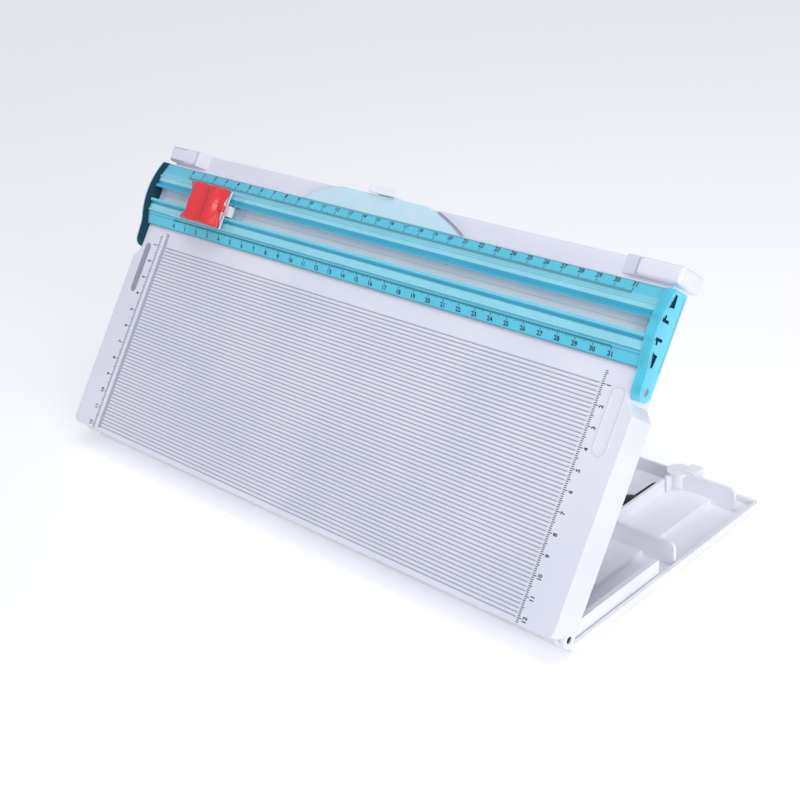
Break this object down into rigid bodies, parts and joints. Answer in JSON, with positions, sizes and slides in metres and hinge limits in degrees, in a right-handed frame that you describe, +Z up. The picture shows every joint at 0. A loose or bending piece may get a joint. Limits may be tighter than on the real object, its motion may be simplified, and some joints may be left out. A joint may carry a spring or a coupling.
{
  "type": "rotary paper trimmer",
  "caption": "Folding desktop paper trimmer: a grooved scoring deck with a clear hinged ruler rail and sliding rotary cutter, hinged along its front edge to a flat storage tray.",
  "frame": {"origin": "on the table, under the middle of the bounding box", "axes": "+X along the cutting rail, +Y from the hinged front edge to the back, +Z up"},
  "size_m": [0.36, 0.1688, 0.1609],
  "materials": {
    "white_abs": "satin moulded",
    "teal_clear": "clear polished",
    "clear_plastic": "clear polished",
    "coral_plastic": "satin moulded",
    "strip_plastic": "satin",
    "steel_pin": "ground",
    "dark_pin": "blackened",
    "blade_steel": "honed",
    "black_plastic": "satin",
    "rubber_grey": "matte"
  },
  "bodies": {
    "base": {"base_tray": "white_abs", "rubber_feet": "rubber_grey", "hinge_pin_left": "dark_pin", "hinge_pin_right": "dark_pin"},
    "stylus": {"scoring_stylus": "black_plastic", "stylus_tips": "steel_pin"},
    "deck": {"deck_shell": "white_abs", "cutting_strip": "strip_plastic", "pivot_pin_left": "steel_pin", "pivot_pin_right": "steel_pin"},
    "catch": {"rail_catch": "white_abs"},
    "rail": {"rail_front": "teal_clear", "rail_rear": "teal_clear", "end_cap_left": "teal_clear", "end_cap_right": "teal_clear"},
    "slider": {"carriage": "white_abs", "blade_guard": "clear_plastic", "press_springs": "steel_pin"},
    "thumb": {"thumb_cover": "coral_plastic", "blade_holder": "white_abs", "blade_axle": "steel_pin"},
    "blade": {"rotary_blade": "blade_steel"}
  },
  "joints": [
    {"name": "deck_fold", "type": "hinge", "parent": "base", "child": "deck", "pos_m": [0, -0.07198, 0.009], "axis": [1, 0, 0], "range_deg": [-54.3, 35]},
    {"name": "rail_lift", "type": "hinge", "parent": "deck", "child": "rail", "pos_m": [0, -0.01471, 0.10773], "axis": [1, 0, 0], "range_deg": [0, 70]},
    {"name": "slider_travel", "type": "slide", "parent": "rail", "child": "slider", "axis": [1, 0, 0], "range_m": [-0.029, 0.273]},
    {"name": "thumb_press", "type": "slide", "parent": "slider", "child": "thumb", "axis": [0, 0.8121, -0.5835], "range_m": [0, 0.0019], "stiffness_N_per_m": 600, "springref_m": -0.002, "deforming": ["press_springs"]},
    {"name": "blade_spin", "type": "hinge", "parent": "thumb", "child": "blade", "pos_m": [-0.122, -0.00682, 0.13568], "axis": [0, 0.5835, 0.8121], "continuous": true},
    {"name": "catch_slide", "type": "slide", "parent": "deck", "child": "catch", "axis": [0, 0.5835, 0.8121], "range_m": [0, 0.0025], "stiffness_N_per_m": 800, "springref_m": -0.001},
    {"name": "stylus_lift", "type": "slide", "parent": "base", "child": "stylus", "axis": [0, 0, 1], "range_m": [0, 0.006]}
  ]
}
